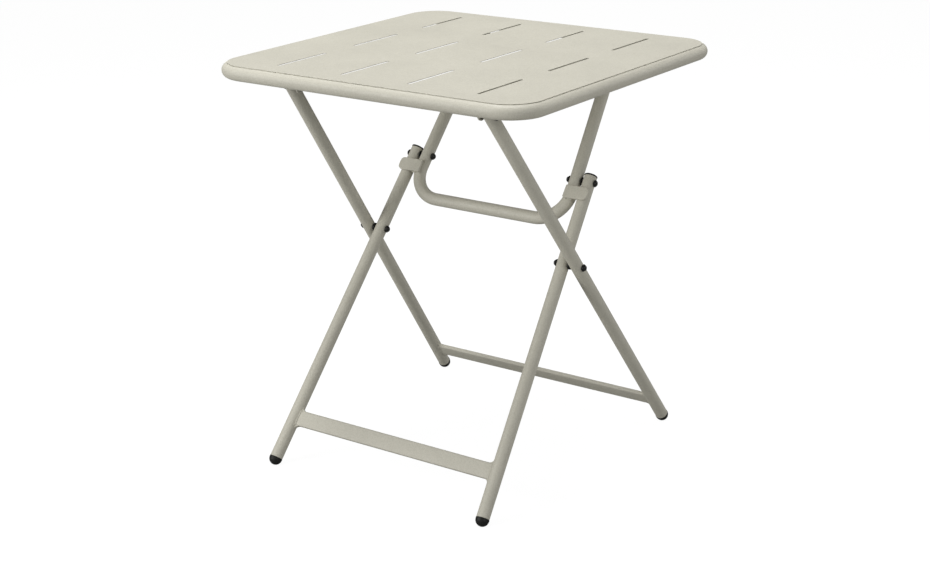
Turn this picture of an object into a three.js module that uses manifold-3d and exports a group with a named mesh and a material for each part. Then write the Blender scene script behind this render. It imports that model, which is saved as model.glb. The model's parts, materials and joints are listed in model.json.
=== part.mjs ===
// Square folding side table in powder-coated steel tube.
// Units are millimetres. +Z is up, +X runs along the crossbars and the front edge is at -Y.
// The origin is on the floor under the centre of the top.

import * as THREE from 'three';
import { mergeVertices } from 'three/addons/utils/BufferGeometryUtils.js';
import Module from 'manifold-3d';

const wasm = await Module();
wasm.setup();

// ---------------------------------------------------------------- driving dimensions

const TOP_SIDE = 630;            // the top is square
const TABLE_HEIGHT = 710;
const GAP = 0.3;                 // between pieces that touch

const TUBE_RADIUS = 11.25;       // legs and brace
const TUBE_WALL = 1.5;
const RING_RADIUS = 12;          // tube that frames the top
const RING_CORNER = 54;          // centre-line radius of the ring's corners
const RING_OVERLAP = 1;          // of the ring's two halves, past the middle of the rear run

const PANEL_THICKNESS = 1;
const PANEL_INSET = 10;          // from the top's outer edge
const SLOT_COLUMNS = 4;
const SLOT_ROWS = 3;
const SLOT_PITCH_X = 132.6;
const SLOT_PITCH_Y = 201.5;
const SLOT_LENGTH = 125;
const SLOT_WIDTH = 5.5;

const REAR_LEAN = 36.8;          // degrees from vertical; this pair ends at the rear floor
const FRONT_LEAN = 38.8;         // degrees from vertical; this pair ends at the front floor
const REAR_FLOOR_Y = 270;        // where each leg's axis meets the floor
const FRONT_FLOOR_Y = -299.2;
const SPLAY = 0.074;             // sideways lean of every leg, per millimetre of height
const OUTER_HALF_WIDTH = 221.6;  // rear-foot legs, at the crossing bolts
const INNER_HALF_WIDTH = 193.9;  // front-foot legs, at the crossing bolts
const BRACE_HALF_WIDTH = 158.5;  // brace arms, at the knee bolts

const LEG_PIVOT_Z = 669.5;       // top pivots of the rear-foot legs
const BRACE_PIVOT_Z = 687;       // top pivots of the brace
const KNEE_REACH = 153.3;        // crossing bolt to knee bolt
const FOLDED_ANGLE = 2.6;        // degrees left between the leg pairs when folded

const BAR_HEIGHT = 28;
const BAR_THICKNESS = 8;
const BAR_CORNER = 2.5;
const REAR_BAR_RISE = 62.5;      // along the leg from the floor to the bar's centre
const FRONT_BAR_RISE = 94;

const CROSS_TUBE_DROP = 80;      // knee bolt to the brace's cross tube, along the arm
const BRACE_BEND = 55;           // centre-line radius of the brace's bends

const STOP_THICKNESS = 4;
const STOP_TOP = -15.5;          // along the arm from the knee bolt
const STOP_BOTTOM = -39;
const STOP_INNER = 153;          // half widths at the plate's two ends
const STOP_OUTER = 199.5;
const STOP_INNER_CORNER = 2;
const STOP_OUTER_CORNER = 8;
const STOP_OFFSET = 0.65;        // between the arm's surface and the stop plate

const RAIL_INNER = 163.5;        // rectangular rail under each side of the panel
const RAIL_WIDTH = 17;
const RAIL_DEPTH = 13.5;
const RAIL_WALL = 1.5;
const RAIL_CORNER = 2;
const PLATE_THICKNESS = 3;       // pivot plates welded to the rails
const PLATE_HALF_WIDTH = 24;
const PLATE_END_RADIUS = 10;     // about the pivot
const PLATE_END_SPREAD = 70;     // degrees to each side of straight down
const PLATE_DROP = 2;            // from the rail's top to the plate's

const BOLT_RADIUS = 4;
const BORE_RADIUS = 4.3;
const CAP_RADIUS = 6.5;
const CAP_HEIGHT = 6;
const KNEE_CAP_HEIGHT = 4.5;
const CAP_RIM = 0.3;             // straight part of a cap, as a share of its height
const NUT_WELL = 0.5;            // depth of a nut's hollow, as a share of its height
const BOLT_END = 1.8;            // length of a bolt's end within its nut
const CAP_CLEARANCE = 0.65;      // a cap's flat base stands clear of the curved tube
const SPACER_RADIUS = 7.5;
const SPACER_CLEARANCE = 0.8;

const FOOT_RADIUS = 11.75;
const FOOT_CENTRE_Z = 10.8;      // of the round end, so a small flat meets the floor
const FOOT_COLLAR = 2.5;
const FOOT_SHANK = 15;
const PLUG_FLANGE = 2.5;
const PLUG_SHANK = 5.5;
const PLUG_BEVEL = 1;
const PLUG_CROWN = 0.5;          // rise of the face within the bevel
const VENT_RADIUS = 3;           // drain hole under the ring's rear run
const PIVOT_TO_END = 11;         // along a tube from its last pivot to its open end

const ROUND_SIDES = 20;
const SMALL_SIDES = 14;

// ---------------------------------------------------------------- linkage in side view

const X = new THREE.Vector3(1, 0, 0);
const Y = new THREE.Vector3(0, 1, 0);
const Z = new THREE.Vector3(0, 0, 1);
const { degToRad, radToDeg } = THREE.MathUtils;
const tanDeg = (angle) => Math.tan(degToRad(angle));
const cosDeg = (angle) => Math.cos(degToRad(angle));
const sinDeg = (angle) => Math.sin(degToRad(angle));

// The two leg pairs cross where their axes meet.
const crossZ = (REAR_FLOOR_Y - FRONT_FLOOR_Y) / (tanDeg(REAR_LEAN) + tanDeg(FRONT_LEAN));
const crossY = REAR_FLOOR_Y - crossZ * tanDeg(REAR_LEAN);
const legPivotY = REAR_FLOOR_Y - LEG_PIVOT_Z * tanDeg(REAR_LEAN);
const kneeY = crossY + KNEE_REACH * sinDeg(FRONT_LEAN);
const kneeZ = crossZ + KNEE_REACH * cosDeg(FRONT_LEAN);
const pivotReach = (LEG_PIVOT_Z - crossZ) / cosDeg(REAR_LEAN);

// Folded, the rear-foot legs lie along the top and the knee comes to this place under it. The
// brace pivot is as far from the knee there as it is in the open table.
const foldedKneeY = legPivotY + pivotReach - KNEE_REACH * cosDeg(FOLDED_ANGLE);
const foldedKneeZ = LEG_PIVOT_Z + KNEE_REACH * sinDeg(FOLDED_ANGLE);
const bracePivotY = (kneeY ** 2 - foldedKneeY ** 2 + (BRACE_PIVOT_Z - kneeZ) ** 2
  - (BRACE_PIVOT_Z - foldedKneeZ) ** 2) / (2 * (kneeY - foldedKneeY));
const braceReach = Math.hypot(bracePivotY - kneeY, BRACE_PIVOT_Z - kneeZ);
const BRACE_LEAN = radToDeg(Math.atan2(bracePivotY - kneeY, BRACE_PIVOT_Z - kneeZ));

// ---------------------------------------------------------------- materials

function paint() {
  return new THREE.MeshStandardMaterial({ color: 0xc9c5b8, roughness: 0.55, metalness: 0.0 });
}

function blackPlastic() {
  return new THREE.MeshStandardMaterial({ color: 0x151515, roughness: 0.5, metalness: 0.0 });
}

// ---------------------------------------------------------------- solids

function toSolid(geometry) {
  const bare = geometry.clone();
  bare.deleteAttribute('normal');
  bare.deleteAttribute('uv');
  const merged = mergeVertices(bare, 1e-4);
  return new wasm.Manifold(new wasm.Mesh({
    numProp: 3,
    vertProperties: new Float32Array(merged.attributes.position.array),
    triVerts: new Uint32Array(merged.index.array),
  }));
}

function toGeometry(solid) {
  const mesh = solid.getMesh();
  const geometry = new THREE.BufferGeometry();
  geometry.setAttribute('position', new THREE.BufferAttribute(mesh.vertProperties, 3));
  geometry.setIndex(new THREE.BufferAttribute(mesh.triVerts, 1));
  return geometry;
}

function cut(geometry, tools) {
  return toGeometry(tools.reduce((solid, tool) => solid.subtract(toSolid(tool)), toSolid(geometry)));
}

// A turned piece: profile points are [radius, distance along the axis from the origin].
function turned(profile, origin, axis, sides = ROUND_SIDES) {
  const points = profile.map(([radius, along]) => new THREE.Vector2(radius, along));
  const geometry = new THREE.LatheGeometry(points, sides);
  geometry.applyQuaternion(new THREE.Quaternion().setFromUnitVectors(Y, axis));
  return geometry.translate(origin.x, origin.y, origin.z);
}

function roundBar(from, to, radius, sides = ROUND_SIDES) {
  const axis = to.clone().sub(from);
  const length = axis.length();
  return turned([[0, 0], [radius, 0], [radius, length], [0, length]], from, axis.normalize(), sides);
}

function roundTube(from, to, radius, wall) {
  const axis = to.clone().sub(from);
  const length = axis.length();
  const inner = radius - wall;
  const profile = [[inner, 0], [radius, 0], [radius, length], [inner, length], [inner, 0]];
  return turned(profile, from, axis.normalize());
}

// A drill along X through (y, z).
function crossDrill(y, z, radius = BORE_RADIUS) {
  const reach = TOP_SIDE / 2;
  return roundBar(new THREE.Vector3(-reach, y, z), new THREE.Vector3(reach, y, z), radius, SMALL_SIDES);
}

// ---------------------------------------------------------------- bent tubes

// A path of straight stretches joined by arcs, with one station at each end of a straight and
// several round each arc, so the straights stay free of needless facets.
class BentPath extends THREE.Curve {
  constructor(corners, radius, arcSteps) {
    super();
    this.points = [corners[0]];
    this.tangents = [corners[1].clone().sub(corners[0]).normalize()];
    for (let i = 1; i < corners.length - 1; i += 1) {
      this.addArc(corners[i - 1], corners[i], corners[i + 1], radius, arcSteps);
    }
    const last = corners.length - 1;
    this.points.push(corners[last]);
    this.tangents.push(corners[last].clone().sub(corners[last - 1]).normalize());
  }

  addArc(before, corner, after, radius, arcSteps) {
    const inward = corner.clone().sub(before).normalize();
    const outward = after.clone().sub(corner).normalize();
    const turn = inward.angleTo(outward);
    const start = corner.clone().addScaledVector(inward, -radius * Math.tan(turn / 2));
    const towardCentre = outward.clone().addScaledVector(inward, -outward.dot(inward)).normalize();
    const centre = start.clone().addScaledVector(towardCentre, radius);
    for (let step = 0; step <= arcSteps; step += 1) {
      const angle = turn * step / arcSteps;
      this.points.push(centre.clone()
        .addScaledVector(towardCentre, -radius * Math.cos(angle))
        .addScaledVector(inward, radius * Math.sin(angle)));
      this.tangents.push(inward.clone().multiplyScalar(Math.cos(angle))
        .addScaledVector(towardCentre, Math.sin(angle)));
    }
  }

  get steps() {
    return this.points.length - 1;
  }

  getPointAt(u, target = new THREE.Vector3()) {
    return target.copy(this.points[Math.round(u * this.steps)]);
  }

  getTangentAt(u, target = new THREE.Vector3()) {
    return target.copy(this.tangents[Math.round(u * this.steps)]);
  }
}

function bentTube(path, radius, wall) {
  const section = new THREE.Shape().absarc(0, 0, radius, 0, 2 * Math.PI);
  section.holes.push(new THREE.Path().absarc(0, 0, radius - wall, 0, 2 * Math.PI, true));
  return new THREE.ExtrudeGeometry(section, {
    steps: path.steps, extrudePath: path, curveSegments: ROUND_SIDES / 2, bevelEnabled: false,
  });
}

// ---------------------------------------------------------------- flat pieces

function roundedRectangle(left, bottom, right, top, leftRadius, rightRadius = leftRadius) {
  const quarter = Math.PI / 2;
  const shape = new THREE.Shape();
  shape.absarc(left + leftRadius, bottom + leftRadius, leftRadius, 2 * quarter, 3 * quarter);
  shape.absarc(right - rightRadius, bottom + rightRadius, rightRadius, 3 * quarter, 4 * quarter);
  shape.absarc(right - rightRadius, top - rightRadius, rightRadius, 0, quarter);
  shape.absarc(left + leftRadius, top - leftRadius, leftRadius, quarter, 2 * quarter);
  return shape;
}

// The section of a rectangular tube.
function tubeOutline(left, bottom, right, top, corner, wall) {
  const outline = roundedRectangle(left, bottom, right, top, corner);
  outline.holes.push(roundedRectangle(left + wall, bottom + wall, right - wall, top - wall,
    corner - wall));
  return outline;
}

// A slot with round ends, its length along the second axis.
function slotOutline(x, y, length, width) {
  const radius = width / 2;
  const reach = length / 2 - radius;
  const outline = new THREE.Path();
  outline.absarc(x, y + reach, radius, 0, Math.PI);
  outline.absarc(x, y - reach, radius, Math.PI, 2 * Math.PI);
  return outline;
}

// Extrudes a shape drawn in the plane of two axes, starting at the given distance along the third.
function plate(shape, across, up, start, thickness, curveSegments = 6) {
  const normal = across.clone().cross(up);
  const geometry = new THREE.ExtrudeGeometry(shape, {
    depth: thickness, bevelEnabled: false, curveSegments,
  });
  geometry.translate(0, 0, start);
  return geometry.applyMatrix4(new THREE.Matrix4().makeBasis(across, up, normal));
}

// ---------------------------------------------------------------- fasteners and ends

// Half of a domed profile, from its rim to its crown.
function dome(radius, rimAlong, height, steps = 4) {
  return Array.from({ length: steps }, (_, i) => {
    const angle = (i + 1) * Math.PI / 2 / steps;
    return [i + 1 === steps ? 0 : radius * Math.cos(angle), rimAlong + height * Math.sin(angle)];
  });
}

// A bolt whose domed head has its base at the origin and whose shank runs back along the axis.
function bolt(origin, axis, shank, headHeight = CAP_HEIGHT) {
  const rim = headHeight * CAP_RIM;
  const profile = [[0, -shank], [BOLT_RADIUS, -shank], [BOLT_RADIUS, 0], [CAP_RADIUS, 0],
    [CAP_RADIUS, rim], ...dome(CAP_RADIUS, rim, headHeight - rim)];
  return turned(profile, origin, axis, SMALL_SIDES);
}

// A domed nut, hollow at its base for the end of the bolt.
function capNut(origin, axis) {
  const rim = CAP_HEIGHT * CAP_RIM;
  const well = CAP_HEIGHT * NUT_WELL;
  const profile = [[0, well], [BORE_RADIUS, well], [BORE_RADIUS, 0], [CAP_RADIUS, 0],
    [CAP_RADIUS, rim], ...dome(CAP_RADIUS, rim, CAP_HEIGHT - rim)];
  return turned(profile, origin, axis, SMALL_SIDES);
}

function spacer(from, to) {
  const axis = to.clone().sub(from);
  const length = axis.length();
  const profile = [[BORE_RADIUS, 0], [SPACER_RADIUS, 0], [SPACER_RADIUS, length],
    [BORE_RADIUS, length], [BORE_RADIUS, 0]];
  return turned(profile, from, axis.normalize(), SMALL_SIDES);
}

function endPlug(origin, axis) {
  const bore = TUBE_RADIUS - TUBE_WALL - GAP;
  const profile = [[0, -PLUG_SHANK], [bore, -PLUG_SHANK], [bore, GAP], [FOOT_RADIUS, GAP],
    [FOOT_RADIUS, PLUG_FLANGE - PLUG_BEVEL], [FOOT_RADIUS - PLUG_BEVEL, PLUG_FLANGE],
    [0, PLUG_FLANGE + PLUG_CROWN]];
  return turned(profile, origin, axis);
}

function roundFoot(centre, axis) {
  const bore = TUBE_RADIUS - TUBE_WALL - GAP;
  const end = -FOOT_COLLAR + GAP;
  const profile = [[0, end - FOOT_SHANK], [bore, end - FOOT_SHANK], [bore, end],
    [FOOT_RADIUS, end], [FOOT_RADIUS, 0], ...dome(FOOT_RADIUS, 0, TUBE_RADIUS, 6)];
  return turned(profile, centre, axis);
}

// ---------------------------------------------------------------- scene graph

const table = new THREE.Group();
const SIDES = [{ tag: 'left', sign: -1 }, { tag: 'right', sign: 1 }];

function add(group, name, geometry, material) {
  const mesh = new THREE.Mesh(geometry, material);
  mesh.name = name;
  group.add(mesh);
}

function makeGroup(y, z, lean) {
  const group = new THREE.Group();
  group.position.set(0, y, z);
  group.rotation.x = degToRad(lean);
  table.add(group);
  group.updateMatrixWorld(true);
  return group;
}

// ---------------------------------------------------------------- leg frames

// A pair of legs drawn about the crossing bolts, with the group's z along the legs. Distances
// along a leg are from the crossing bolts, upwards.
function legFrame({ tag, lean, halfWidth, topEnd, bores, barRise }) {
  const group = makeGroup(crossY, crossZ, lean);
  const narrowing = SPLAY * cosDeg(lean);
  const halfWidthAt = (along) => halfWidth - narrowing * along;
  const axisPoint = (sign, along) => new THREE.Vector3(sign * halfWidthAt(along), 0, along);
  const floorAlong = -crossZ / cosDeg(lean);
  const footCentre = (FOOT_CENTRE_Z - crossZ) / cosDeg(lean);

  for (const { tag: side, sign } of SIDES) {
    const lower = axisPoint(sign, footCentre + FOOT_COLLAR);
    const upper = axisPoint(sign, topEnd);
    const downward = lower.clone().sub(upper).normalize();
    const tube = roundTube(lower, upper, TUBE_RADIUS, TUBE_WALL);
    add(group, `${tag}_leg_${side}`, cut(tube, bores.map((along) => crossDrill(0, along))), paint());

    const underFloor = new THREE.BoxGeometry(2 * TOP_SIDE, 2 * TOP_SIDE, TOP_SIDE)
      .translate(0, 0, -TOP_SIDE / 2)
      .applyMatrix4(group.matrixWorld.clone().invert());
    const foot = roundFoot(axisPoint(sign, footCentre), downward);
    add(group, `${tag}_foot_${side}`, cut(foot, [underFloor]), blackPlastic());
    add(group, `${tag}_leg_plug_${side}`, endPlug(upper, downward.clone().negate()), blackPlastic());
  }

  const barCentre = floorAlong + barRise;
  add(group, `${tag}_crossbar`, crossbar(barCentre, axisPoint), paint());
  return { group, halfWidthAt };
}

// A flat rectangular tube between two legs, with its ends cut to their round surfaces.
function crossbar(centre, axisPoint) {
  const outline = tubeOutline(-BAR_THICKNESS / 2, centre - BAR_HEIGHT / 2, BAR_THICKNESS / 2,
    centre + BAR_HEIGHT / 2, BAR_CORNER, TUBE_WALL);
  const reach = axisPoint(1, centre).x;
  const bar = plate(outline, Y, Z, -reach, 2 * reach, 3);
  const legs = SIDES.map(({ sign }) => roundBar(axisPoint(sign, centre - 2 * BAR_HEIGHT),
    axisPoint(sign, centre + 2 * BAR_HEIGHT), TUBE_RADIUS + GAP));
  return cut(bar, legs);
}

const rearFrame = legFrame({
  tag: 'rear',
  lean: REAR_LEAN,
  halfWidth: OUTER_HALF_WIDTH,
  topEnd: pivotReach + PIVOT_TO_END,
  bores: [0, pivotReach],
  barRise: REAR_BAR_RISE,
});

const frontFrame = legFrame({
  tag: 'front',
  lean: -FRONT_LEAN,
  halfWidth: INNER_HALF_WIDTH,
  topEnd: KNEE_REACH + PIVOT_TO_END,
  bores: [0, KNEE_REACH],
  barRise: FRONT_BAR_RISE,
});

// ---------------------------------------------------------------- crossing bolts

// The surfaces of two neighbouring tubes face each other at these half widths.
const outerCross = OUTER_HALF_WIDTH + TUBE_RADIUS;
const gapCrossOuter = OUTER_HALF_WIDTH - TUBE_RADIUS;
const gapCrossInner = INNER_HALF_WIDTH + TUBE_RADIUS;
const innerCross = INNER_HALF_WIDTH - TUBE_RADIUS;

for (const { tag: side, sign } of SIDES) {
  const outward = X.clone().multiplyScalar(sign);
  const at = (halfWidth) => new THREE.Vector3(sign * halfWidth, 0, 0);
  const head = outerCross + CAP_CLEARANCE;
  const nut = innerCross - CAP_CLEARANCE;
  const shank = head - nut + BOLT_END;
  add(rearFrame.group, `cross_bolt_${side}`, bolt(at(head), outward, shank), blackPlastic());
  add(rearFrame.group, `cross_nut_${side}`, capNut(at(nut), outward.clone().negate()), blackPlastic());
  const washer = spacer(at(gapCrossInner + SPACER_CLEARANCE), at(gapCrossOuter - SPACER_CLEARANCE));
  add(rearFrame.group, `cross_spacer_${side}`, washer, blackPlastic());
}

// ---------------------------------------------------------------- brace

const brace = makeGroup(kneeY, kneeZ, -BRACE_LEAN);
const braceNarrowing = SPLAY * cosDeg(BRACE_LEAN);
const braceHalfWidthAt = (along) => BRACE_HALF_WIDTH - braceNarrowing * along;
const armPoint = (sign, along) => new THREE.Vector3(sign * braceHalfWidthAt(along), 0, along);
const armEnd = braceReach + PIVOT_TO_END;

const bracePath = new BentPath([
  armPoint(-1, armEnd), armPoint(-1, -CROSS_TUBE_DROP),
  armPoint(1, -CROSS_TUBE_DROP), armPoint(1, armEnd),
], BRACE_BEND, 9);
const braceTube = bentTube(bracePath, TUBE_RADIUS, TUBE_WALL);
add(brace, 'brace_tube', cut(braceTube, [crossDrill(0, 0), crossDrill(0, braceReach)]), paint());

// The plate's outer corners are rounder than its inner ones.
function stopPlate(sign) {
  const outline = sign > 0
    ? roundedRectangle(STOP_INNER, STOP_BOTTOM, STOP_OUTER, STOP_TOP,
      STOP_INNER_CORNER, STOP_OUTER_CORNER)
    : roundedRectangle(-STOP_OUTER, STOP_BOTTOM, -STOP_INNER, STOP_TOP,
      STOP_OUTER_CORNER, STOP_INNER_CORNER);
  return plate(outline, X, Z, TUBE_RADIUS + STOP_OFFSET, STOP_THICKNESS);
}

for (const { tag: side, sign } of SIDES) {
  const outward = X.clone().multiplyScalar(sign);
  const inward = outward.clone().negate();
  const upward = armPoint(sign, 1).sub(armPoint(sign, 0)).normalize();
  add(brace, `stop_plate_${side}`, stopPlate(sign), paint());
  add(brace, `brace_plug_${side}`, endPlug(armPoint(sign, armEnd), upward), blackPlastic());

  // The knee bolt is in two halves that meet in the gap between brace and leg.
  const armInner = BRACE_HALF_WIDTH - TUBE_RADIUS - CAP_CLEARANCE;
  const armOuter = BRACE_HALF_WIDTH + TUBE_RADIUS + CAP_CLEARANCE;
  const innerHalf = bolt(new THREE.Vector3(sign * armInner, 0, 0), inward, armOuter - armInner);
  add(brace, `knee_bolt_inner_${side}`, innerHalf, blackPlastic());

  const kneeHalfWidth = frontFrame.halfWidthAt(KNEE_REACH);
  const legOuter = kneeHalfWidth + TUBE_RADIUS + CAP_CLEARANCE;
  const legInner = kneeHalfWidth - TUBE_RADIUS - SPACER_CLEARANCE;
  const spacerEnd = armOuter + SPACER_CLEARANCE;
  const knee = (halfWidth) => new THREE.Vector3(sign * halfWidth, 0, KNEE_REACH);
  const outerHalf = bolt(knee(legOuter), outward, legOuter - spacerEnd, KNEE_CAP_HEIGHT);
  add(frontFrame.group, `knee_bolt_outer_${side}`, outerHalf, blackPlastic());
  add(frontFrame.group, `knee_spacer_${side}`, spacer(knee(spacerEnd), knee(legInner)), blackPlastic());
}

// ---------------------------------------------------------------- table top

const top = new THREE.Group();
table.add(top);

const panelUnder = TABLE_HEIGHT - PANEL_THICKNESS;
const ringZ = panelUnder - GAP - RING_RADIUS;
const ringHalf = TOP_SIDE / 2 - RING_RADIUS;

// Half of the ring, from the middle of the front edge to just past the middle of the rear edge.
function ringHalfTube(sign) {
  const corner = (x, y) => new THREE.Vector3(x, y, ringZ);
  const path = new BentPath([
    corner(0, -ringHalf), corner(sign * ringHalf, -ringHalf),
    corner(sign * ringHalf, ringHalf), corner(-sign * RING_OVERLAP, ringHalf),
  ], RING_CORNER, 8);
  return bentTube(path, RING_RADIUS, TUBE_WALL);
}

function topRing() {
  const ring = toSolid(ringHalfTube(1)).add(toSolid(ringHalfTube(-1)));
  const under = ringZ - 2 * RING_RADIUS;
  const vent = roundBar(new THREE.Vector3(TOP_SIDE / 4, ringHalf, under),
    new THREE.Vector3(TOP_SIDE / 4, ringHalf, ringZ), VENT_RADIUS, SMALL_SIDES);
  return toGeometry(ring.subtract(toSolid(vent)));
}

function slottedPanel() {
  const half = TOP_SIDE / 2 - PANEL_INSET;
  const corner = RING_CORNER + half - ringHalf;
  const outline = roundedRectangle(-half, -half, half, half, corner);
  for (let column = 0; column < SLOT_COLUMNS; column += 1) {
    for (let row = 0; row < SLOT_ROWS; row += 1) {
      const x = (column - (SLOT_COLUMNS - 1) / 2) * SLOT_PITCH_X;
      const y = (row - (SLOT_ROWS - 1) / 2) * SLOT_PITCH_Y;
      outline.holes.push(slotOutline(x, y, SLOT_LENGTH, SLOT_WIDTH));
    }
  }
  return plate(outline, X, Y, panelUnder, PANEL_THICKNESS, 5);
}

add(top, 'top_ring', topRing(), paint());
add(top, 'top_panel', slottedPanel(), paint());

const railTop = panelUnder - GAP;
const railBottom = railTop - RAIL_DEPTH;
const railOuter = RAIL_INNER + RAIL_WIDTH;
const railHalfLength = ringHalf - RING_RADIUS - GAP;

function sideRail(sign) {
  const left = Math.min(sign * RAIL_INNER, sign * railOuter);
  const right = left + RAIL_WIDTH;
  const outline = tubeOutline(left, railBottom, right, railTop, RAIL_CORNER, RAIL_WALL);
  return plate(outline, X, Z, -railHalfLength, 2 * railHalfLength, 2);
}

// A plate hanging beside a rail, round about its pivot.
function pivotPlate(y, z, start) {
  const topZ = railTop - PLATE_DROP;
  const shape = new THREE.Shape();
  shape.moveTo(y - PLATE_HALF_WIDTH, topZ);
  shape.lineTo(y - PLATE_HALF_WIDTH, railBottom);
  shape.absarc(y, z, PLATE_END_RADIUS, degToRad(270 - PLATE_END_SPREAD),
    degToRad(270 + PLATE_END_SPREAD));
  shape.lineTo(y + PLATE_HALF_WIDTH, railBottom);
  shape.lineTo(y + PLATE_HALF_WIDTH, topZ);
  shape.closePath();
  shape.holes.push(new THREE.Path().absarc(y, z, BORE_RADIUS, 0, 2 * Math.PI, true));
  return plate(shape, Y, Z, start, PLATE_THICKNESS, 8);
}

for (const { tag: side, sign } of SIDES) {
  const outward = X.clone().multiplyScalar(sign);
  const inward = outward.clone().negate();
  add(top, `side_rail_${side}`, sideRail(sign), paint());

  // Leg pivots: the plate is on the rail's outer face and the leg is outside it.
  const plateInner = railOuter + GAP;
  const plateOuter = plateInner + PLATE_THICKNESS;
  const legHalfWidth = rearFrame.halfWidthAt(pivotReach);
  const leg = (halfWidth) => new THREE.Vector3(sign * halfWidth, legPivotY, LEG_PIVOT_Z);
  const legHead = legHalfWidth + TUBE_RADIUS + CAP_CLEARANCE;
  const legNut = plateInner - GAP;
  const legPlateStart = sign > 0 ? plateInner : -plateOuter;
  const legSpacer = spacer(leg(plateOuter + GAP), leg(legHalfWidth - TUBE_RADIUS - SPACER_CLEARANCE));
  add(top, `leg_pivot_plate_${side}`, pivotPlate(legPivotY, LEG_PIVOT_Z, legPlateStart), paint());
  add(top, `leg_pivot_bolt_${side}`,
    bolt(leg(legHead), outward, legHead - legNut + BOLT_END), blackPlastic());
  add(top, `leg_pivot_nut_${side}`, capNut(leg(legNut), inward), blackPlastic());
  add(top, `leg_pivot_spacer_${side}`, legSpacer, blackPlastic());

  // Brace pivots: the plate is on the rail's inner face and the brace arm is inside it.
  const armHalfWidth = braceHalfWidthAt(braceReach);
  const armPlateOuter = RAIL_INNER - GAP;
  const armPlateInner = armPlateOuter - PLATE_THICKNESS;
  const arm = (halfWidth) => new THREE.Vector3(sign * halfWidth, bracePivotY, BRACE_PIVOT_Z);
  const armHead = armHalfWidth - TUBE_RADIUS - CAP_CLEARANCE;
  const armNut = armPlateOuter + GAP;
  const armPlateStart = sign > 0 ? armPlateInner : -armPlateOuter;
  const armSpacer = spacer(arm(armHalfWidth + TUBE_RADIUS + SPACER_CLEARANCE),
    arm(armPlateInner - GAP));
  add(top, `brace_pivot_plate_${side}`, pivotPlate(bracePivotY, BRACE_PIVOT_Z, armPlateStart), paint());
  add(top, `brace_pivot_bolt_${side}`,
    bolt(arm(armHead), inward, armNut - armHead + BOLT_END), blackPlastic());
  add(top, `brace_pivot_nut_${side}`, capNut(arm(armNut), outward), blackPlastic());
  add(top, `brace_pivot_spacer_${side}`, armSpacer, blackPlastic());
}

export default table;
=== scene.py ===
"""Looks for the folding side table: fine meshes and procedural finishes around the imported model.

Everything is in metres in the model's own frame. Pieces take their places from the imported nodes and
joints, and every piece stands for the node that it refines.
"""

import json
import math

import bmesh
import bpy
from mathutils import Matrix, Vector

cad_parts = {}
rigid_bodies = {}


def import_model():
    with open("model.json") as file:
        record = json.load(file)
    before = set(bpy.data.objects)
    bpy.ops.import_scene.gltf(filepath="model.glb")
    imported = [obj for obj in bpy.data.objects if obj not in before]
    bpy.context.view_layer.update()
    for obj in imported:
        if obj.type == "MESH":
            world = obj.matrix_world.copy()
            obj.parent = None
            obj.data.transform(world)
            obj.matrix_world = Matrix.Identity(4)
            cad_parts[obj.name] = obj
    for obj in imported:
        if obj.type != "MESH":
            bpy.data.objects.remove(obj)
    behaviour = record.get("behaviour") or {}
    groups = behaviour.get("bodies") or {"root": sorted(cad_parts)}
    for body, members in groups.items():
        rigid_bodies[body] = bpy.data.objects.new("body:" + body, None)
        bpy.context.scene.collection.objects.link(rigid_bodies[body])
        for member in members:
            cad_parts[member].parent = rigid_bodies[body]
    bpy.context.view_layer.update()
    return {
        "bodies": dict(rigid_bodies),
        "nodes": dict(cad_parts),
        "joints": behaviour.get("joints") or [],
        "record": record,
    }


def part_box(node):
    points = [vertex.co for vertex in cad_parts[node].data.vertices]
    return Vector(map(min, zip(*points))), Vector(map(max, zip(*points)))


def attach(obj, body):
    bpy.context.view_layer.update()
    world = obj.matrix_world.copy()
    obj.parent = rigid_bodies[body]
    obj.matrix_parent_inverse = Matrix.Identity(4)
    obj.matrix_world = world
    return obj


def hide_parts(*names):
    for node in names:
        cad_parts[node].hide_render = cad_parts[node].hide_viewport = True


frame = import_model()

MM = 0.001
SIDES = {"left": -1, "right": 1}
X, Y, Z = Vector((1, 0, 0)), Vector((0, 1, 0)), Vector((0, 0, 1))
PIVOTS = {joint["name"]: Vector(joint["pos_m"]) for joint in frame["joints"]}

SPLAY = 0.074                    # sideways lean of legs and arms per unit of height
RING_CORNER = 54 * MM            # centre-line radius of the top ring's corners
BRACE_BEND = 55 * MM             # centre-line radius of the brace's bends
BRACE_HALF_WIDTH = 158.5 * MM    # of the arms at the knee bolts
CROSS_TUBE_DROP = 80 * MM        # from the knee bolts to the brace's cross tube, along the arm
PIVOT_TO_END = 11 * MM           # from the brace's upper pivot to the end of its arms
CROSSBAR_CORNER = 2.5 * MM
RAIL_WALL = 1.5 * MM
RAIL_CORNER = 2 * MM
RAIL_BORE_CORNER = 0.6 * MM
STOP_INNER_CORNER = 2 * MM       # of the stop plates, at the ends nearer the middle
STOP_OUTER_CORNER = 8 * MM
SHANK_RADIUS = 3.9 * MM
BORE_RADIUS = 4.3 * MM
CAP_HEIGHT = 6 * MM              # of bolt heads and cap nuts
KNEE_CAP_HEIGHT = 4.5 * MM
TUBE_STEPS = 40
FASTENER_STEPS = 32
SLOT_COLUMNS = 4
SLOT_ROWS = 3
SLOT_PITCH = (132.6 * MM, 201.5 * MM)
SLOT_SIZE = (5.5 * MM, 125 * MM)


# ---------------------------------------------------------------- node graphs

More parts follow.
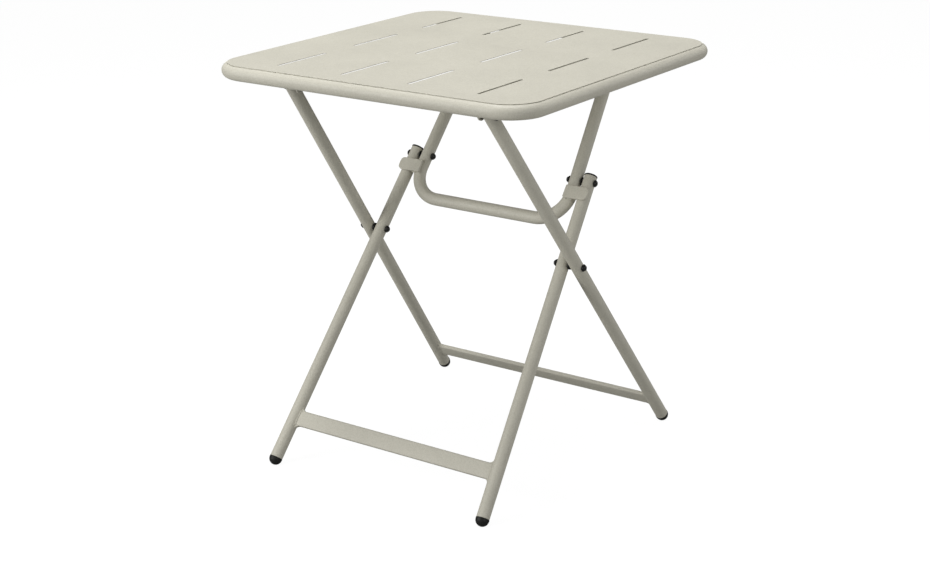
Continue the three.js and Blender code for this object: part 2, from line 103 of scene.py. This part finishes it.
class Graph:
    """A material's nodes, made and linked with few words."""

    def __init__(self, name):
        self.material = bpy.data.materials.new(name)
        self.material.use_nodes = True
        self.tree = self.material.node_tree
        self.shader = self.tree.nodes["Principled BSDF"]
        self.place = self.node("ShaderNodeTexCoord").outputs["Object"]

    def node(self, kind, **inputs):
        made = self.tree.nodes.new(kind)
        for name, value in inputs.items():
            made.inputs[name].default_value = value
        return made

    def link(self, output, target):
        self.tree.links.new(output, target)

    def noise(self, scale, detail=3.0, roughness=0.5):
        made = self.node("ShaderNodeTexNoise", Scale=scale, Detail=detail, Roughness=roughness)
        self.link(self.place, made.inputs["Vector"])
        return made.outputs["Fac"]

    def spread(self, value, low, high):
        """Maps the middle of a noise's range, where most of its values lie, onto another range."""
        made = self.node("ShaderNodeMapRange")
        made.inputs["From Min"].default_value = 0.3
        made.inputs["From Max"].default_value = 0.7
        made.inputs["To Min"].default_value = low
        made.inputs["To Max"].default_value = high
        self.link(value, made.inputs["Value"])
        return made.outputs["Result"]

    def ramp(self, value, stops):
        made = self.node("ShaderNodeValToRGB")
        elements = made.color_ramp.elements
        while len(elements) < len(stops):
            elements.new(0.5)
        for element, (position, colour) in zip(elements, stops):
            element.position = position
            element.color = (*colour, 1)
        self.link(value, made.inputs["Fac"])
        return made.outputs["Color"]

    def multiply(self, factor, first, second):
        """One colour times another, by a factor from none to all."""
        made = self.node("ShaderNodeMix")
        made.data_type = "RGBA"
        made.blend_type = "MULTIPLY"
        made.inputs["Factor"].default_value = factor
        for name, colour in (("A", first), ("B", second)):
            self.link(colour, next(s for s in made.inputs if s.name == name and s.type == "RGBA"))
        return next(s for s in made.outputs if s.type == "RGBA")

    def bump(self, height, strength, distance, below=None):
        made = self.node("ShaderNodeBump")
        made.inputs["Strength"].default_value = strength
        made.inputs["Distance"].default_value = distance
        self.link(height, made.inputs["Height"])
        if below is not None:
            self.link(below, made.inputs["Normal"])
        return made.outputs["Normal"]

    def finish(self, colour, roughness, normal):
        self.link(colour, self.shader.inputs["Base Color"])
        self.link(roughness, self.shader.inputs["Roughness"])
        self.link(normal, self.shader.inputs["Normal"])
        return self.material


def tint(colour, factor):
    return tuple(channel * factor for channel in colour)


def powder_coat():
    """Fine-textured matt powder coat: orange peel, powder grain and faint cloudiness."""
    base = (0.580, 0.560, 0.480)
    white = (1.0, 1.0, 1.0)
    graph = Graph("powder_coat")
    clouds = graph.noise(7.0, 4.0)
    colour = graph.ramp(clouds, [(0.30, tint(base, 0.96)), (0.70, tint(base, 1.03))])
    grain = graph.noise(1900.0, 2.0, 0.6)
    specks = graph.ramp(grain, [(0.33, (0.80, 0.79, 0.76)), (0.46, white)])
    colour = graph.multiply(0.6, colour, specks)
    blotches = graph.noise(430.0, 2.0, 0.6)
    mottle = graph.ramp(blotches, [(0.36, (0.87, 0.87, 0.85)), (0.60, white)])
    colour = graph.multiply(0.75, colour, mottle)
    peel = graph.bump(graph.noise(420.0, 2.0), 0.22, 0.4 * MM)
    normal = graph.bump(grain, 0.30, 0.12 * MM, peel)
    graph.shader.inputs["Specular IOR Level"].default_value = 0.45
    return graph.finish(colour, graph.spread(graph.noise(60.0), 0.47, 0.59), normal)


def black_plastic():
    """Moulded plastic with a fine spark-eroded grain, a little greyer where it has rubbed."""
    graph = Graph("black_plastic")
    rubs = graph.noise(90.0, 4.0)
    colour = graph.ramp(rubs, [(0.35, (0.005, 0.005, 0.004)), (0.75, (0.013, 0.013, 0.011))])
    normal = graph.bump(graph.noise(1500.0, 2.0, 0.6), 0.35, 0.15 * MM)
    graph.shader.inputs["Specular IOR Level"].default_value = 0.3
    return graph.finish(colour, graph.spread(rubs, 0.42, 0.60), normal)


def black_steel():
    """Black coated fastener, satin, with faint handling marks."""
    graph = Graph("black_steel")
    marks = graph.noise(240.0, 5.0)
    colour = graph.ramp(marks, [(0.35, (0.006, 0.006, 0.006)), (0.72, (0.018, 0.018, 0.016))])
    normal = graph.bump(marks, 0.12, 0.1 * MM)
    graph.shader.inputs["Metallic"].default_value = 0.35
    return graph.finish(colour, graph.spread(marks, 0.28, 0.45), normal)


def floor_material():
    """White floor with faint shadows, which lights the table from below only as a grey one would."""
    graph = Graph("floor")
    pale = graph.shader
    pale.inputs["Specular IOR Level"].default_value = 0.0
    colour = graph.ramp(graph.noise(3.0), [(0.3, (0.985, 0.985, 0.985)), (0.7, (1.0, 1.0, 1.0))])
    graph.link(colour, pale.inputs["Base Color"])
    pale.inputs["Roughness"].default_value = 0.9
    grey = graph.node("ShaderNodeBsdfDiffuse")
    grey.inputs["Color"].default_value = (0.40, 0.40, 0.39, 1)
    glow = graph.node("ShaderNodeEmission")
    glow.inputs["Strength"].default_value = 1.06
    seen = graph.node("ShaderNodeMixShader")
    seen.inputs["Fac"].default_value = 0.90
    graph.link(pale.outputs["BSDF"], seen.inputs[1])
    graph.link(glow.outputs["Emission"], seen.inputs[2])
    path = graph.node("ShaderNodeLightPath")
    both = graph.node("ShaderNodeMixShader")
    graph.link(path.outputs["Is Camera Ray"], both.inputs["Fac"])
    graph.link(grey.outputs["BSDF"], both.inputs[1])
    graph.link(seen.outputs["Shader"], both.inputs[2])
    graph.link(both.outputs["Shader"], graph.tree.nodes["Material Output"].inputs["Surface"])
    return graph.material


MATERIALS = {
    "powder_coat": powder_coat(),
    "black_plastic": black_plastic(),
    "black_steel": black_steel(),
}


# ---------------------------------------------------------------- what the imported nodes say

def points_of(node):
    return [vertex.co.copy() for vertex in frame["nodes"][node].data.vertices]


def middle(points):
    """Centre of the points' box."""
    low = Vector(min(p[i] for p in points) for i in range(3))
    high = Vector(max(p[i] for p in points) for i in range(3))
    return (low + high) / 2


def tube_axis(node):
    """Centres of a straight tube's two ends, lower first, and its radius."""
    points = points_of(node)
    highest = max(points, key=lambda p: p.z)
    lowest = min(points, key=lambda p: p.z)
    guess = (highest - lowest).normalized()
    along = [p.dot(guess) for p in points]
    reach = 3 * MM
    for _ in range(3):
        lower = middle([p for p, a in zip(points, along) if a < min(along) + reach])
        upper = middle([p for p, a in zip(points, along) if a > max(along) - reach])
        guess = (upper - lower).normalized()
        along = [p.dot(guess) for p in points]
        reach = 0.5 * MM
    radius = max((p - lower).cross(guess).length for p in points)
    return lower, upper, radius


def extent(node, origin, axis):
    """Lowest and highest distance of a node's points along an axis, and their largest radius."""
    points = points_of(node)
    along = [(p - origin).dot(axis) for p in points]
    radius = max((p - origin).cross(axis).length for p in points)
    return min(along), max(along), radius


def slot_of(node):
    return next(s["material_slot"] for s in frame["record"]["subparts"] if s["node"] == node)


def body_of(node):
    return next(b for b, nodes in frame["record"]["behaviour"]["bodies"].items() if node in nodes)


# ---------------------------------------------------------------- mesh making

def add_piece(name, mesh, body, slot, nodes=(), sharp=35):
    """Puts a finished mesh into the scene as one piece of the table."""
    shell = bmesh.new()
    shell.from_mesh(mesh)
    bmesh.ops.recalc_face_normals(shell, faces=shell.faces)
    shell.to_mesh(mesh)
    shell.free()
    mesh.polygons.foreach_set("use_smooth", [True] * len(mesh.polygons))
    mesh.set_sharp_from_angle(angle=math.radians(sharp))
    mesh.materials.clear()
    mesh.materials.append(MATERIALS[slot])
    piece = bpy.data.objects.new(name, mesh)
    bpy.context.scene.collection.objects.link(piece)
    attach(piece, body)
    if nodes:
        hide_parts(*nodes)


def refine(node, mesh, sharp=35):
    """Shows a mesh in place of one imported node."""
    add_piece(f"{node}_fine", mesh, body_of(node), slot_of(node), [node], sharp)


def ring_mesh(name, rings, closed=False):
    """Skins rings of points of equal number, with flat ends unless the rings close on themselves."""
    count = len(rings[0])
    verts = [p for ring in rings for p in ring]
    faces = []
    for i in range(len(rings) if closed else len(rings) - 1):
        j = (i + 1) % len(rings)
        for k in range(count):
            m = (k + 1) % count
            faces.append((i * count + k, i * count + m, j * count + m, j * count + k))
    if not closed:
        faces.append(tuple(reversed(range(count))))
        faces.append(tuple(range((len(rings) - 1) * count, len(rings) * count)))
    mesh = bpy.data.meshes.new(name)
    mesh.from_pydata([tuple(v) for v in verts], [], faces)
    mesh.validate()
    return mesh


def circle(centre, across, up, radius, steps=TUBE_STEPS):
    ring = []
    for i in range(steps):
        angle = 2 * math.pi * i / steps
        ring.append(centre + across * (radius * math.cos(angle)) + up * (radius * math.sin(angle)))
    return ring


def frame_about(axis):
    """Two directions square to an axis and to each other."""
    across = axis.cross(X if abs(axis.x) < 0.9 else Y).normalized()
    return across, axis.cross(across)


def turned(name, profile, origin, axis, steps=TUBE_STEPS):
    """A turned piece. The profile is (radius, distance along the axis) from one end to the other."""
    across, up = frame_about(axis)
    least = 0.02 * MM
    rings = [circle(origin + axis * along, across, up, max(radius, least), steps)
             for radius, along in profile]
    return ring_mesh(name, rings)


def quarter_round(start, end, steps=5):
    """Profile points from one to another, bulging outwards."""
    (r0, a0), (r1, a1) = start, end
    made = []
    for i in range(steps + 1):
        turn = math.pi / 2 * i / steps
        made.append((r0 + (r1 - r0) * (1 - math.cos(turn)), a0 + (a1 - a0) * math.sin(turn)))
    return made


def swept(name, stations, normal, radius, closed=False):
    """A round tube along flat stations, each a point and its direction."""
    rings = []
    for point, direction in stations:
        rings.append(circle(point, direction.cross(normal).normalized(), normal, radius))
    return ring_mesh(name, rings, closed)


def bend(start, corner, end, radius, steps=14):
    """Stations round a bend between two straights that would meet at a corner."""
    inward = (corner - start).normalized()
    outward = (end - corner).normalized()
    turn = inward.angle(outward)
    first = corner - inward * (radius * math.tan(turn / 2))
    towards = (outward - inward * outward.dot(inward)).normalized()
    centre = first + towards * radius
    made = []
    for i in range(steps + 1):
        angle = turn * i / steps
        point = centre - towards * (radius * math.cos(angle)) + inward * (radius * math.sin(angle))
        made.append((point, inward * math.cos(angle) + towards * math.sin(angle)))
    return made


def outline_arc(x, y, radius, start, end, steps):
    made = []
    for i in range(steps + 1):
        angle = math.radians(start + (end - start) * i / steps)
        made.append((x + radius * math.cos(angle), y + radius * math.sin(angle)))
    return made


def rounded_rectangle(left, bottom, right, top, right_radius, steps=8, left_radius=None):
    """Outline with round corners, whose radius may differ between the right and the left."""
    corners = ((right, top, 0), (left, top, 90), (left, bottom, 180), (right, bottom, 270))
    outline = []
    for x, y, start in corners:
        radius = right_radius if x == right or left_radius is None else left_radius
        cx = x - radius if x == right else x + radius
        cy = y - radius if y == top else y + radius
        outline += outline_arc(cx, cy, radius, start, start + 90, steps)
    return outline


def mesh_of_curve(curve):
    holder = bpy.data.objects.new(curve.name, curve)
    bpy.context.scene.collection.objects.link(holder)
    bpy.context.view_layer.update()
    evaluated = holder.evaluated_get(bpy.context.evaluated_depsgraph_get())
    mesh = bpy.data.meshes.new_from_object(evaluated)
    bpy.data.objects.remove(holder)
    return mesh


def pressed(name, outlines, across, up, origin, thickness, edge):
    """A flat piece with rounded edges, from closed outlines drawn on two axes; inner ones are holes."""
    curve = bpy.data.curves.new(name, "CURVE")
    curve.dimensions = "2D"
    curve.fill_mode = "BOTH"
    curve.extrude = thickness / 2 - edge
    curve.bevel_depth = edge
    curve.bevel_resolution = 3
    curve.offset = -edge
    for outline in outlines:
        spline = curve.splines.new("POLY")
        spline.points.add(len(outline) - 1)
        for point, (x, y) in zip(spline.points, outline):
            point.co = (x, y, 0, 1)
        spline.use_cyclic_u = True
    mesh = mesh_of_curve(curve)
    place = Matrix((across, up, across.cross(up))).transposed().to_4x4()
    place.translation = origin
    mesh.transform(place)
    return mesh


# ---------------------------------------------------------------- weld beads

WELDS = {body: [] for body in frame["bodies"]}


def weld(body, points, radius, closed=False):
    """Notes a bead of weld along a line; the beads of one body become one piece."""
    WELDS[body].append((points, radius, closed))


def along_line(start, end, step=1.6 * MM):
    count = max(2, int((end - start).length / step))
    return [start.lerp(end, i / count) for i in range(count + 1)]


def make_welds():
    for body, lines in WELDS.items():
        curve = bpy.data.curves.new(f"welds_{body}", "CURVE")
        curve.dimensions = "3D"
        curve.bevel_depth = MM
        curve.bevel_resolution = 3
        curve.use_fill_caps = True
        for points, radius, closed in lines:
            spline = curve.splines.new("POLY")
            spline.points.add(len(points) - 1)
            for i, (target, point) in enumerate(zip(spline.points, points)):
                target.co = (*point, 1)
                ripple = 1 + 0.10 * math.sin(2.1 * i) + 0.05 * math.sin(0.77 * i + 1)
                target.radius = radius / MM * ripple
            spline.use_cyclic_u = closed
        add_piece(f"{body}_welds", mesh_of_curve(curve), body, "powder_coat", sharp=80)


# ---------------------------------------------------------------- round pieces

def straight_tube(node):
    lower, upper, radius = tube_axis(node)
    axis = (upper - lower).normalized()
    across, up = frame_about(axis)
    lip = 0.5 * MM
    length = (upper - lower).length
    profile = [(radius - lip, 0), (radius, lip), (radius, length - lip), (radius - lip, length)]
    rings = [circle(lower + axis * along, across, up, r) for r, along in profile]
    refine(node, ring_mesh(node, rings))
    return lower, upper, radius


def end_plug(node, end, axis):
    """A thin-flanged plug with a faintly domed face."""
    low, high, radius = extent(node, end, axis)
    edge = 0.7 * MM
    dome = 0.5 * MM
    stem = radius - 2.5 * MM
    seat = 0.1 * MM
    profile = [(0, low), (stem, low), (stem, seat), (radius - 0.3 * MM, seat)]
    profile += quarter_round((radius, 0.3 * MM), (radius - edge, high - dome))
    profile += [(radius * 0.6, high - dome * 0.35), (radius * 0.3, high - dome * 0.1), (0, high)]
    refine(node, turned(node, profile, end, axis), 50)


def foot(node, end, axis):
    """A round-ended plug with a moulded collar, flat where it meets the floor."""
    low, high, radius = extent(node, end, axis)
    collar = 1.6 * MM
    stem = radius - 0.6 * MM - 1.5 * MM
    seat = 0.2 * MM
    ball_radius = radius - 0.25 * MM
    ball_start = 2.5 * MM
    ball_length = radius - 0.5 * MM
    profile = [(0, low), (stem, low), (stem, seat), (radius - 0.4 * MM, seat)]
    profile += [(radius, 0.6 * MM), (radius, collar), (ball_radius, collar + 0.3 * MM)]
    steps = 14
    for i in range(steps + 1):
        turn = math.pi / 2 * i / steps
        profile.append((ball_radius * math.cos(turn), ball_start + ball_length * math.sin(turn)))
    mesh = turned(node, profile, end, axis)
    for vertex in mesh.vertices:
        vertex.co.z = max(vertex.co.z, 0.0)
    refine(node, mesh, 60)


def domed_head(base, radius, height):
    """Profile of a flanged cap with a domed crown, from its base to its crown."""
    flange = 0.22 * height
    lip = 0.3 * MM
    step = 0.25 * MM
    shoulder = radius * 0.86
    fullness = 0.8
    rise = height - flange - step
    profile = [(radius - lip, base), (radius, base + lip), (radius, base + flange)]
    profile.append((shoulder + 0.15 * MM, base + flange + step))
    steps = 9
    for i in range(steps + 1):
        turn = math.pi / 2 * i / steps
        along = base + flange + step + rise * math.sin(turn)
        profile.append((shoulder * math.cos(turn) ** fullness, along))
    return profile


def fastener(node, outward, head):
    """A bolt or cap nut on an X axis. Its head stands outward from the rest of it."""
    low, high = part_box(node)
    centre = (low + high) / 2
    radius = (high.z - low.z) / 2
    axis = X * outward
    origin = Vector((low.x if outward > 0 else high.x, centre.y, centre.z))
    length = high.x - low.x
    base = length - head
    profile = domed_head(base, radius, head)
    if base > 0.1 * MM:
        profile = [(SHANK_RADIUS, 0), (SHANK_RADIUS, base)] + profile
    refine(node, turned(node, [(0, 0)] + profile, origin, axis, FASTENER_STEPS), 45)


def spacer(node):
    low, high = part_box(node)
    centre = (low + high) / 2
    radius = (high.z - low.z) / 2
    length = high.x - low.x
    edge = min(0.5 * MM, length / 3)
    profile = [(0, 0), (radius - edge, 0), (radius, edge)]
    profile += [(radius, length - edge), (radius - edge, length), (0, length)]
    origin = Vector((low.x, centre.y, centre.z))
    refine(node, turned(node, profile, origin, X, FASTENER_STEPS))


# ---------------------------------------------------------------- leg frames

def crossbar(node, legs, radius):
    """A flat rectangular tube welded between two legs."""
    low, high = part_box(node)
    centre = (low + high) / 2
    lower, upper = legs["right"]
    axis = (upper - lower).normalized()
    up = Vector((0, axis.y, axis.z)).normalized()
    across = up.cross(X)
    along = [(p - centre).dot(up) for p in points_of(node)]
    depth = [(p - centre).dot(across) for p in points_of(node)]
    half_height = max(along)
    half_depth = max(depth)
    t = (centre.z - lower.z) / axis.z
    reach = (lower + axis * t).x - radius * 0.5
    outline = rounded_rectangle(-half_depth, -half_height, half_depth, half_height, CROSSBAR_CORNER, 6)
    rings = []
    for x in (-reach, reach):
        end = Vector((x, 0, 0)) + centre.project(Y) + centre.project(Z)
        rings.append([end + across * a + up * b for a, b in outline])
    refine(node, ring_mesh(node, rings), 40)
    for side_name, sign in SIDES.items():
        points = []
        for a, b in rounded_rectangle(-half_depth, -half_height, half_depth, half_height,
                                      CROSSBAR_CORNER, 3):
            point = centre + across * a + up * b
            t = (point - lower).dot(up) / axis.dot(up)
            side = (lower + axis * t).x - math.sqrt(max(radius ** 2 - a * a, 0))
            points.append(Vector((sign * side, point.y, point.z)))
        dense = []
        for first, second in zip(points, points[1:] + points[:1]):
            dense += along_line(first, second, 1.3 * MM)[:-1]
        weld(body_of(node), dense, 1.6 * MM, closed=True)
        for edge_name, edge in (("lower", -1), ("upper", 1)):
            weld_fillet(f"{node}_fillet_{side_name}_{edge_name}", centre, axis, up, across,
                        edge * half_height, half_depth, sign, lower, radius, body_of(node))


def weld_fillet(name, centre, axis, up, across, height, half_depth, sign, lower, radius, body):
    """A run of weld that fills the corner between a crossbar's edge and a leg."""
    flare = 7 * MM
    lip = 0.35 * MM
    depth = half_depth * 0.72
    sunk = 2 * MM                    # into the bar
    buried = 3 * MM                  # into the leg
    grow = math.copysign(1, height)
    base = centre + up * height
    t = (base - lower).dot(up) / axis.dot(up)
    leg_x = (lower + axis * t).x - radius
    steps = 8
    rings = []
    for i in range(steps + 1):
        turn = math.pi / 2 * i / steps
        inset = flare * (1 - math.sin(turn))
        rise = flare * (1 - math.cos(turn))
        slope = axis.x / axis.dot(up) * grow * rise
        rings.append((leg_x + slope - inset, rise))
    verts = []
    for x, rise in rings:
        for side in (-1, 1):
            verts.append(base + up * (grow * (rise + lip)) + across * (side * depth)
                         + X * (sign * x - base.x))
    root = base - up * (grow * sunk)
    for side in (-1, 1):
        verts.append(root + across * (side * depth) + X * (sign * (leg_x + buried) - base.x))
    count = len(rings)
    faces = [(2 * i, 2 * i + 1, 2 * i + 3, 2 * i + 2) for i in range(count)]
    faces.append((2 * count, 2 * count + 1, 1, 0))
    faces.append(tuple(2 * i for i in range(count, -1, -1)))
    faces.append(tuple(2 * i + 1 for i in range(count + 1)))
    mesh = bpy.data.meshes.new(name)
    mesh.from_pydata([tuple(v) for v in verts], [], faces)
    mesh.validate()
    add_piece(name, mesh, body, "powder_coat")


def leg_frame(tag):
    legs = {}
    for side in SIDES:
        lower, upper, radius = straight_tube(f"{tag}_leg_{side}")
        axis = (upper - lower).normalized()
        end_plug(f"{tag}_leg_plug_{side}", upper, axis)
        foot(f"{tag}_foot_{side}", lower, -axis)
        legs[side] = (lower, upper)
    crossbar(f"{tag}_crossbar", legs, radius)
    return radius


tube_radius = leg_frame("rear")
leg_frame("front")
for side, sign in SIDES.items():
    fastener(f"cross_bolt_{side}", sign, CAP_HEIGHT)
    fastener(f"cross_nut_{side}", -sign, CAP_HEIGHT)
    spacer(f"cross_spacer_{side}")
    fastener(f"knee_bolt_outer_{side}", sign, KNEE_CAP_HEIGHT)
    fastener(f"knee_bolt_inner_{side}", -sign, CAP_HEIGHT)
    spacer(f"knee_spacer_{side}")


# ---------------------------------------------------------------- brace

knee = sum(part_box("knee_bolt_inner_left"), Vector()) / 2
knee.x = 0
arm_up = (PIVOTS["brace_swing"] - knee).normalized()
arm_front = X.cross(arm_up)
narrowing = SPLAY * arm_up.z


def arm_point(sign, along):
    return knee + X * (sign * (BRACE_HALF_WIDTH - narrowing * along)) + arm_up * along


def brace():
    arm_end = (PIVOTS["brace_swing"] - knee).length + PIVOT_TO_END
    ends = {sign: arm_point(sign, arm_end) for sign in (-1, 1)}
    corners = {sign: arm_point(sign, -CROSS_TUBE_DROP) for sign in (-1, 1)}
    down = (corners[-1] - ends[-1]).normalized()
    rise = (ends[1] - corners[1]).normalized()
    stations = [(ends[-1], down)]
    stations += bend(ends[-1], corners[-1], corners[1], BRACE_BEND)
    stations += bend(corners[-1], corners[1], ends[1], BRACE_BEND)
    stations.append((ends[1], rise))
    refine("brace_tube", swept("brace_tube", stations, arm_front, tube_radius))
    for side, sign in SIDES.items():
        axis = (ends[sign] - corners[sign]).normalized()
        end_plug(f"brace_plug_{side}", ends[sign], axis)
        stop_plate(f"stop_plate_{side}", sign)


def stop_plate(node, sign):
    """A pressed plate across the front of arm and leg, welded to the arm."""
    points = points_of(node)
    ups = [(p - knee).dot(arm_up) for p in points]
    fronts = [(p - knee).dot(arm_front) for p in points]
    low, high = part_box(node)
    bottom, top = min(ups), max(ups)
    back, front = min(fronts), max(fronts)
    left_radius, right_radius = STOP_INNER_CORNER, STOP_OUTER_CORNER
    if sign < 0:
        left_radius, right_radius = right_radius, left_radius
    outline = rounded_rectangle(low.x, bottom, high.x, top, right_radius, 8, left_radius)
    origin = knee + arm_front * ((back + front) / 2)
    refine(node, pressed(node, [outline], X, arm_up, origin, front - back, 0.6 * MM), 40)
    half = 8.5 * MM                  # the beads follow the round arm away from the plate
    for height in (bottom, top):
        centre_x = arm_point(sign, height).x
        for edge in (-1, 1):
            bead = []
            for reach, depth in ((half * 0.15, 0.3 * MM), (half, 2.6 * MM)):
                across = X * (centre_x + edge * reach)
                bead.append(knee + across + arm_up * height + arm_front * (back - depth))
            weld("brace", along_line(*bead, 1.2 * MM), 1.5 * MM)


brace()


# ---------------------------------------------------------------- table top

def top_ring():
    """Makes the ring, and gives the half side of its centre line."""
    low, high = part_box("top_ring")
    radius = (high.z - low.z) / 2
    half = high.x - radius
    z = low.z + radius
    corners = [Vector((x * half, y * half, z)) for x, y in ((-1, -1), (1, -1), (1, 1), (-1, 1))]
    stations = []
    for i, corner in enumerate(corners):
        stations += bend(corners[i - 1], corner, corners[(i + 1) % 4], RING_CORNER, 16)
    refine("top_ring", swept("top_ring", stations, Z, radius, closed=True))
    return half


def slot_outline(x, y):
    width, length = SLOT_SIZE
    reach = length / 2 - width / 2
    return (outline_arc(x, y + reach, width / 2, 0, 180, 8)
            + outline_arc(x, y - reach, width / 2, 180, 360, 8))


def top_panel(ring_half):
    low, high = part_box("top_panel")
    half = high.x
    outlines = [rounded_rectangle(-half, -half, half, half, RING_CORNER + half - ring_half, 20)]
    for column in range(SLOT_COLUMNS):
        for row in range(SLOT_ROWS):
            x = (column - (SLOT_COLUMNS - 1) / 2) * SLOT_PITCH[0]
            y = (row - (SLOT_ROWS - 1) / 2) * SLOT_PITCH[1]
            outlines.append(slot_outline(x, y))
    centre = Vector((0, 0, (low.z + high.z) / 2))
    refine("top_panel", pressed("top_panel", outlines, X, Y, centre, high.z - low.z, 0.25 * MM), 40)


def side_rail(node):
    low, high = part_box(node)
    outside = rounded_rectangle(low.x, low.z, high.x, high.z, RAIL_CORNER, 5)
    bore = rounded_rectangle(low.x + RAIL_WALL, low.z + RAIL_WALL,
                             high.x - RAIL_WALL, high.z - RAIL_WALL, RAIL_BORE_CORNER, 4)
    centre = Vector((0, (low.y + high.y) / 2, 0))
    refine(node, pressed(node, [outside, bore], X, Z, centre, high.y - low.y, 0.2 * MM), 40)
    for end in (-1, 1):
        y = end * (high.y - 0.4 * MM)
        z = low.z + 0.3 * MM
        start = Vector((low.x + RAIL_CORNER, y, z))
        end = Vector((high.x - RAIL_CORNER, y, z))
        weld("top", along_line(start, end), 1.6 * MM)


def pivot_plate(node):
    low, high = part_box(node)
    centre = Vector(((low.x + high.x) / 2, 0, 0))
    pivot = PIVOTS["top_tilt"] if node.startswith("leg") else PIVOTS["brace_swing"]
    radius = pivot.z - low.z
    rail_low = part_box("side_rail_left")[0].z
    outline = [(high.y, rail_low), (high.y, high.z), (low.y, high.z), (low.y, rail_low)]
    outline += outline_arc(pivot.y, pivot.z, radius, 200, 340, 14)
    hole_steps = 24
    hole = outline_arc(pivot.y, pivot.z, BORE_RADIUS, 0, 360 - 360 / hole_steps, hole_steps - 1)
    refine(node, pressed(node, [outline, hole], Y, Z, centre, high.x - low.x, 0.4 * MM), 40)
    inner, outer = sorted((low.x, high.x), key=abs)
    face = outer if node.startswith("leg") else inner
    margin = 3 * MM
    bead = 10 * MM
    for y in (low.y + margin, high.y - margin - bead):
        start = Vector((face, y, high.z - 0.2 * MM))
        weld("top", along_line(start, start + Y * bead), 1.2 * MM)


top_panel(top_ring())
for side, sign in SIDES.items():
    side_rail(f"side_rail_{side}")
    for pivot, outward in (("leg", sign), ("brace", -sign)):
        pivot_plate(f"{pivot}_pivot_plate_{side}")
        fastener(f"{pivot}_pivot_bolt_{side}", outward, CAP_HEIGHT)
        fastener(f"{pivot}_pivot_nut_{side}", -outward, CAP_HEIGHT)
        spacer(f"{pivot}_pivot_spacer_{side}")

make_welds()


# ---------------------------------------------------------------- stage, light and camera

def floor():
    bpy.ops.mesh.primitive_plane_add(size=30, location=(0, 0, 0))
    plane = bpy.context.object
    plane.name = "floor"
    plane.data.materials.append(floor_material())


def soft_box(name, place, target, size, power):
    data = bpy.data.lights.new(name, "AREA")
    data.shape = "SQUARE"
    data.size = size
    data.energy = power
    light = bpy.data.objects.new(name, data)
    light.location = place
    light.rotation_euler = (Vector(target) - Vector(place)).to_track_quat("-Z", "Y").to_euler()
    bpy.context.scene.collection.objects.link(light)


def world(strength):
    """An even surround that looks white, and lights the table with the given strength."""
    made = bpy.data.worlds.new("studio")
    made.use_nodes = True
    tree = made.node_tree
    lit = tree.nodes["Background"]
    lit.inputs["Color"].default_value = (1, 1, 1, 1)
    lit.inputs["Strength"].default_value = strength
    seen = tree.nodes.new("ShaderNodeBackground")
    seen.inputs["Color"].default_value = (1, 1, 1, 1)
    seen.inputs["Strength"].default_value = 1.0
    path = tree.nodes.new("ShaderNodeLightPath")
    both = tree.nodes.new("ShaderNodeMixShader")
    tree.links.new(path.outputs["Is Camera Ray"], both.inputs["Fac"])
    tree.links.new(lit.outputs["Background"], both.inputs[1])
    tree.links.new(seen.outputs["Background"], both.inputs[2])
    tree.links.new(both.outputs["Shader"], tree.nodes["World Output"].inputs["Surface"])
    bpy.context.scene.world = made


def camera():
    data = bpy.data.cameras.new("camera")
    data.sensor_width = 36
    data.lens = 69.27
    data.clip_end = 100
    made = bpy.data.objects.new("camera", data)
    yaw, pitch, roll = 0.6103, -0.3244, -0.0094
    made.location = (1.71317, -2.46818, 1.30250)
    turn = Matrix.Rotation(yaw, 4, "Z") @ Matrix.Rotation(math.pi / 2 + pitch, 4, "X")
    made.rotation_euler = (turn @ Matrix.Rotation(roll, 4, "Z")).to_euler()
    bpy.context.scene.collection.objects.link(made)
    bpy.context.scene.camera = made


floor()
world(0.24)
soft_box("overhead", place=(-0.3, 0.1, 3.2), target=(0, 0, 0.5), size=1.8, power=64)
soft_box("key", place=(-1.7, -3.1, 1.5), target=(0, 0, 0.45), size=1.9, power=74)
soft_box("side", place=(3.2, -1.2, 1.5), target=(0, 0, 0.4), size=1.2, power=22)
soft_box("rear", place=(2.4, 3.0, 1.4), target=(0, 0, 0.4), size=1.6, power=20)
camera()
bpy.context.scene.view_settings.view_transform = "Standard"
